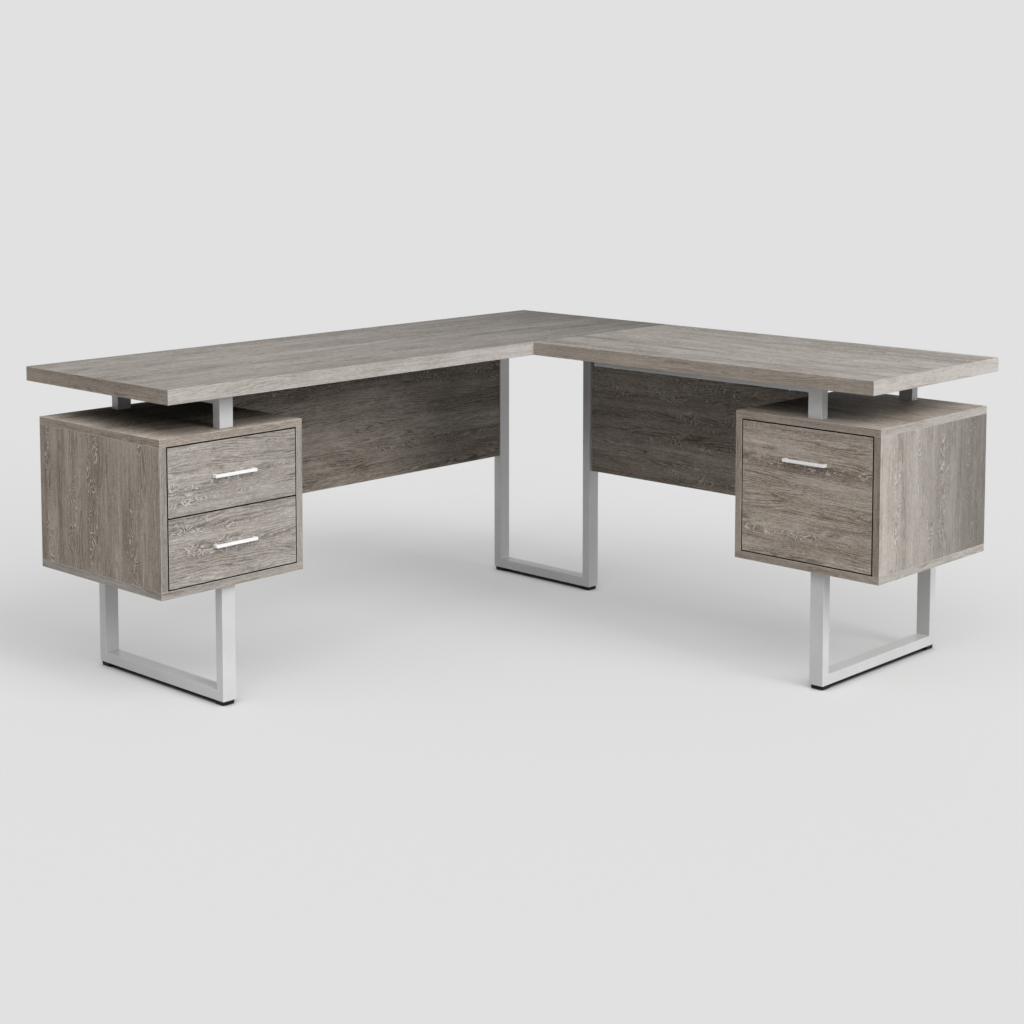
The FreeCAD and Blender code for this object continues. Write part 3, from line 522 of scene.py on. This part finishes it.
# Each finish: the noises of its colour, its roughness and its relief, its colours and its range of roughness,
# the relief's depth in metres and strength, and the shader's own values
FINISHES = {
    "bright_handle": {
        "pattern": BRUSH,
        "cloud": BRUSH_CLOUD,
        "relief": BRUSH,
        "stops": ((0.3, (0.88, 0.88, 0.88)), (0.7, (0.97, 0.97, 0.965))),
        "roughness": (0.26, 0.38),
        "bump": (0.00005, 0.3),
        "sockets": {"Metallic": 0.3},
    },
    "zinc": {
        "pattern": SPANGLE,
        "cloud": SPANGLE_CLOUD,
        "relief": SPANGLE,
        "stops": ((0.3, (0.46, 0.47, 0.49)), (0.7, (0.66, 0.67, 0.68))),
        "roughness": (0.28, 0.46),
        "bump": (0.00005, 0.3),
        "sockets": {"Metallic": 0.9},
    },
    "black_plastic": {
        "pattern": SCUFF,
        "cloud": SCUFF,
        "relief": SPARK,
        "stops": ((0.35, (0.006, 0.006, 0.0065)), (0.75, (0.018, 0.0175, 0.017))),
        "roughness": (0.42, 0.62),
        "bump": (0.0002, 0.35),
        "sockets": {"Specular_IOR_Level": 0.2},
    },
    "beech": {
        "pattern": BEECH_FLECK,
        "cloud": BEECH_FLECK,
        "relief": BEECH_FLECK,
        "stops": ((0.3, (0.46, 0.31, 0.19)), (0.7, (0.60, 0.43, 0.28))),
        "roughness": (0.55, 0.7),
        "bump": (0.0001, 0.3),
        "sockets": {},
    },
}


def plain_finish(name):
    """A finish of the table, the same on every piece that wears it."""
    look = FINISHES[name]
    made, tree = material(name)
    place = tree.node("ShaderNodeTexCoord").outputs["Object"]
    colour = tree.ramp(tree.noise(place, *look["pattern"]), look["stops"])
    roughness = tree.span(tree.noise(place, *look["cloud"]), *NOISE_SPAN, *look["roughness"])
    normal = tree.bump(tree.noise(place, *look["relief"]), *look["bump"])
    tree.surface(colour, roughness, normal, **look["sockets"])
    return made


# Each board: node, axis of its grain, axis of the grain on its end bands, its figure's and its grain's
# strength, and the faces painted near-black as shade
OAK_BOARDS = (
    ("main_top", Y, X, 0.5, 0.92, ((Z, -1),)),
    ("return_top", X, Y, 0.5, 0.97, ((Z, -1),)),
    ("left_case_top", Y, X, 0.6, 1.0, ((Z, -1),)),
    ("left_case_bottom", Y, X, 0.6, 1.0, ((Z, 1),)),
    ("left_case_outer_side", Z, X, 0.9, 0.9, ((Y, 1),)),
    ("left_case_inner_side", Z, X, 1.0, 1.0, ((Y, -1),)),
    ("left_case_back", Z, Y, 0.9, 1.0, ()),
    ("right_case_top", X, Y, 0.6, 1.0, ((Z, -1),)),
    ("right_case_bottom", X, Y, 0.6, 1.0, ((Z, 1),)),
    ("right_case_outer_side", Z, Y, 0.55, 0.58, ((X, -1),)),
    ("right_case_inner_side", Z, Y, 1.0, 1.0, ((X, 1),)),
    ("right_case_back", Z, X, 0.9, 1.0, ()),
    ("upper_front", Y, Z, 0.85, 1.0, ((Y, 1), (Y, -1), (Z, 1), (Z, -1))),
    ("lower_front", Y, Z, 0.85, 0.95, ((Y, 1), (Y, -1), (Z, 1), (Z, -1))),
    ("file_front", X, Z, 0.9, 1.1, ((X, 1), (X, -1), (Z, 1), (Z, -1))),
    ("main_modesty_panel", Y, Z, 0.85, 1.25, ()),
    ("return_modesty_panel", X, Z, 0.7, 1.15, ()),
)
# Painted light and shade on some faces: the axis, the tone at its low end and at its high end, and the curve
# between
OAK_PAINTED_LIGHT = {
    "main_top": (Y, 0.95, 0.47, 2.2),
    "return_top": (X, 0.88, 1.16, 1.0),
    "right_case_outer_side": (Y, 1.37, 0.58, 1.0),
    "right_case_top": (X, 1.35, 1.35, 1.0),
    "left_case_top": (X, 1.5, 1.5, 1.0),
    "left_case_outer_side": (X, 0.94, 1.00, 1.0),
    "upper_front": (Y, 1.09, 0.95, 1.0),
    "lower_front": (Y, 1.05, 1.02, 1.0),
    "file_front": (X, 1.14, 1.10, 1.0),
    "main_modesty_panel": (Y, 0.87, 0.82, 1.0),
    "return_modesty_panel": (X, 0.98, 0.92, 1.0),
}
# The drawer boxes' wood shows no curled figure
BOX_FIGURE = 0.0


def dress(nodes, finish):
    """Gives some nodes one finish all over."""
    for node in nodes:
        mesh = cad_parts[node].data
        mesh.materials.clear()
        mesh.materials.append(finish)


def dress_boards():
    """Grey oak on the outer boards, and paler wood on the drawer boxes."""
    # Each case's front: the axis it faces along, its place on that axis and the way inwards
    lips = {
        "left_case": (X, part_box("left_case_top")[1][X], -1),
        "right_case": (Y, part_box("right_case_top")[0][Y], 1),
    }
    for seed, (node, along, across, figure, contrast, faces) in enumerate(OAK_BOARDS, 1):
        lip = next((lips[case] for case in lips if node.startswith(case)), None)
        painted_light_lean = OAK_PAINTED_LIGHT.get(node, EVEN_TONE)
        dress([node], wood(node, along, across, seed, figure, OAK_STOPS, faces, lip, contrast, painted_light_lean))
    seed = len(OAK_BOARDS)
    for drawer, run, face in (("upper", X, Y), ("lower", X, Y), ("file", Y, X)):
        boards = (("left_side", run, Z), ("right_side", run, Z), ("back", face, Z), ("bottom", run, face))
        for piece, along, across in boards:
            seed += 1
            node = f"{drawer}_{piece}"
            dress([node], wood(node, along, across, seed, BOX_FIGURE, BOX_STOPS))


def dress_the_rest():
    """Paint on the frame, bright pulls, zinc hardware, black feet and beech dowels."""
    drawers = ("upper", "lower", "file")
    legs = ("left", "right", "middle")
    cases = ("left", "right")
    painted = [f"{leg}_leg" for leg in legs] + ["left_spacer", "return_front_rail", "return_rear_rail"]
    plated = ["seam_plates", "seam_screws", "frame_screws", "spacer_bolts", "panel_brackets", "panel_screws"]
    plated += ["file_runner_middle", "file_hanger_rails"]
    fittings = ("handle_screws", "runner_fixed", "runner_moving")
    plated += [f"{drawer}_{fitting}" for drawer in drawers for fitting in fittings]
    dress(painted, silver_paint())
    dress([f"{drawer}_handle" for drawer in drawers], plain_finish("bright_handle"))
    dress(plated, plain_finish("zinc"))
    dress([f"{leg}_leg_feet" for leg in legs], plain_finish("black_plastic"))
    dress([f"{case}_case_dowels" for case in cases], plain_finish("beech"))


def shown_plain(tree):
    """One for rays from the eye, a mirror or a window, and nought for light that falls on things."""
    path = tree.node("ShaderNodeLightPath")
    seen = tree.math("MAXIMUM", path.outputs["Is Camera Ray"], path.outputs["Is Glossy Ray"])
    return tree.math("MAXIMUM", seen, path.outputs["Is Transmission Ray"])


def grey(level):
    """An opaque grey."""
    return (level, level, level, 1.0)


def make_floor():
    """A pale floor that reaches the horizon, keeps the desk's shadow and has a painted shadow at contacts."""
    shape = bmesh.new()
    bmesh.ops.create_grid(shape, x_segments=2, y_segments=2, size=FLOOR_HALF)
    mesh = bpy.data.meshes.new("floor")
    shape.to_mesh(mesh)
    shape.free()
    floor = bpy.data.objects.new("floor", mesh)
    bpy.context.scene.collection.objects.link(floor)
    made, tree = material("pale_floor")
    # Painted contact shadow: nought where the floor is closed in under a part, one in the open
    clear = tree.painted_occlusion_shade(PAINTED_CONTACT_SHADOW_REACH, PAINTED_CONTACT_SHADOW_FADE, 0.0)
    lit = tree.node("ShaderNodeBsdfDiffuse")
    shown = tree.tint(clear, grey(0.0), grey(FLOOR_SHOWN))
    tree.put(lit.inputs["Color"], tree.tint(shown_plain(tree), grey(FLOOR_BOUNCE), shown))
    glow = tree.node("ShaderNodeEmission")
    glow.inputs["Color"].default_value = grey(PALE)
    both = tree.node("ShaderNodeMixShader")
    # The floor's glow fades away in the painted contact shadow
    tree.put(both.inputs[0], tree.times(shown_plain(tree), tree.times(clear, FLOOR_GLOW)))
    tree.put(both.inputs[1], lit.outputs[0])
    tree.put(both.inputs[2], glow.outputs[0])
    out = tree.node("ShaderNodeOutputMaterial")
    tree.put(out.inputs["Surface"], both.outputs[0])
    mesh.materials.append(made)


def make_world():
    """A white sky that lights the desk softly and shows as the pale backdrop."""
    world = bpy.data.worlds.new("studio")
    bpy.context.scene.world = world
    world.use_nodes = True
    tree = Tree(world.node_tree)
    sky = tree.node("ShaderNodeBackground")
    sky.inputs["Color"].default_value = grey(1.0)
    tree.put(sky.inputs["Strength"], tree.choose(shown_plain(tree), SKY, PALE))
    out = tree.node("ShaderNodeOutputWorld")
    tree.put(out.inputs["Surface"], sky.outputs[0])


def make_lamps():
    """Broad soft suns: two along -X, one from the camera's side and one along +Y."""
    for name, strength, azimuth, elevation, spread in LAMPS:
        light = bpy.data.lights.new(name, "SUN")
        light.energy = strength
        light.angle = math.radians(spread)
        lamp = bpy.data.objects.new(name, light)
        lamp.rotation_euler = (math.radians(90 - elevation), 0, math.radians(azimuth))
        bpy.context.scene.collection.objects.link(lamp)


def make_camera():
    """The photograph's camera, with the shift of its frame."""
    lens = bpy.data.cameras.new("camera")
    lens.sensor_width = SENSOR
    lens.lens = FOCAL_PIXELS / IMAGE_SIDE * SENSOR
    lens.shift_x = (IMAGE_SIDE / 2 - HORIZONTAL_CENTRE) / IMAGE_SIDE
    lens.shift_y = (VERTICAL_CENTRE - IMAGE_SIDE / 2) / IMAGE_SIDE
    camera = bpy.data.objects.new("camera", lens)
    camera.location = CAMERA_PLACE
    camera.rotation_euler = (math.radians(90 - CAMERA_DOWN), 0, math.radians(CAMERA_TURN))
    bpy.context.scene.collection.objects.link(camera)
    bpy.context.scene.camera = camera


dress_boards()
dress_the_rest()
make_floor()
make_world()
make_lamps()
make_camera()
bpy.context.scene.view_settings.view_transform = "Standard"
